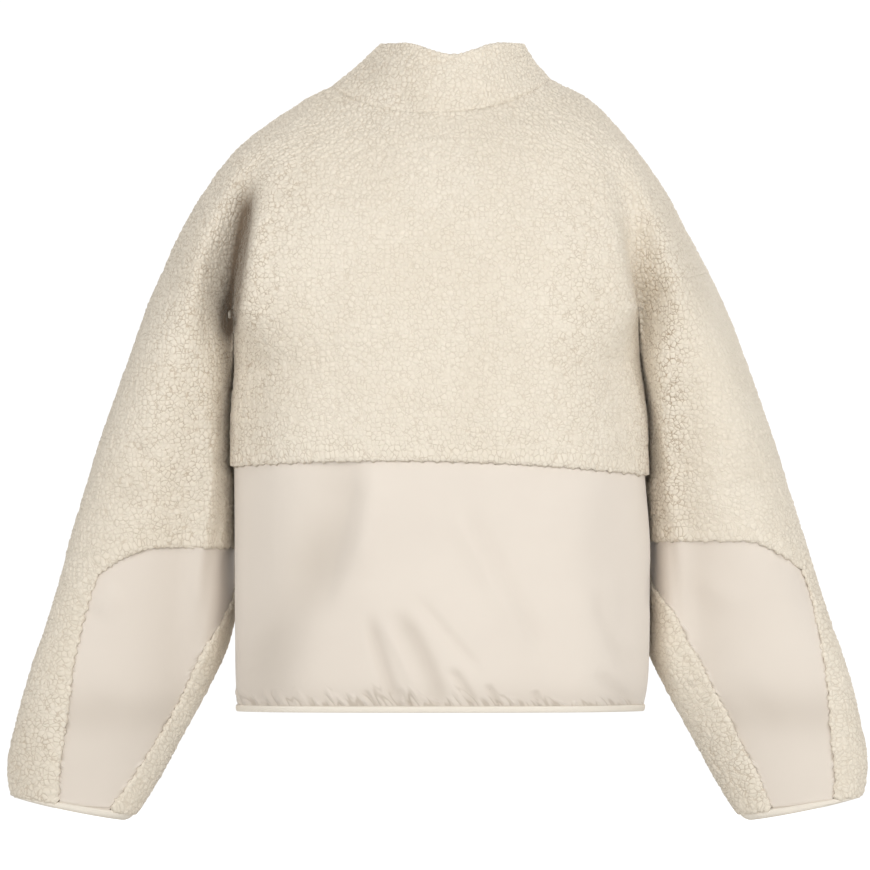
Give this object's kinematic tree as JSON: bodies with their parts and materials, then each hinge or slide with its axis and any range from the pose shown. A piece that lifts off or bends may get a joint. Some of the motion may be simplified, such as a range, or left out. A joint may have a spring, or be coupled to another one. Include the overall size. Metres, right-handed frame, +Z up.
{
  "type": "sherpa jacket",
  "caption": "Cropped stand-collar sherpa jacket, filled out and hollow, with smooth nylon lower body and forearm panels and a front zip whose pull tab swings.",
  "frame": {"origin": "middle of the shoulders, level with the high points of the shoulder seams", "axes": "+X to the wearer's right, +Y out of the front, +Z up; the back faces -Y"},
  "size_m": [0.8193, 0.2683, 0.7397],
  "materials": {
    "sherpa": "cream pile fleece",
    "nylon": "smooth nylon with a soft sheen",
    "binding": "matt elastic binding",
    "zip_tape": "woven tape",
    "zip_plastic": "moulded teeth",
    "zip_metal": "painted to match"
  },
  "bodies": {
    "jacket": {"back": "sherpa", "front_left": "sherpa", "front_right": "sherpa", "sleeve_left": "sherpa", "sleeve_right": "sherpa", "collar": "sherpa", "back_lower": "nylon", "front_lower_left": "nylon", "front_lower_right": "nylon", "forearm_panel_left": "nylon", "forearm_panel_right": "nylon", "hem_binding": "binding", "cuff_binding_left": "binding", "cuff_binding_right": "binding", "zip_tape_left": "zip_tape", "zip_tape_right": "zip_tape", "zip_chain": "zip_plastic", "zip_box": "zip_plastic", "zip_slider": "zip_metal"},
    "pull_tab": {"pull_tab": "zip_metal"}
  },
  "joints": [
    {"name": "pull_tab_swing", "type": "hinge", "parent": "jacket", "child": "pull_tab", "pos_m": [0.01329, 0.0599, -0.01874], "axis": [1, 0, 0], "range_deg": [0, 150]}
  ]
}
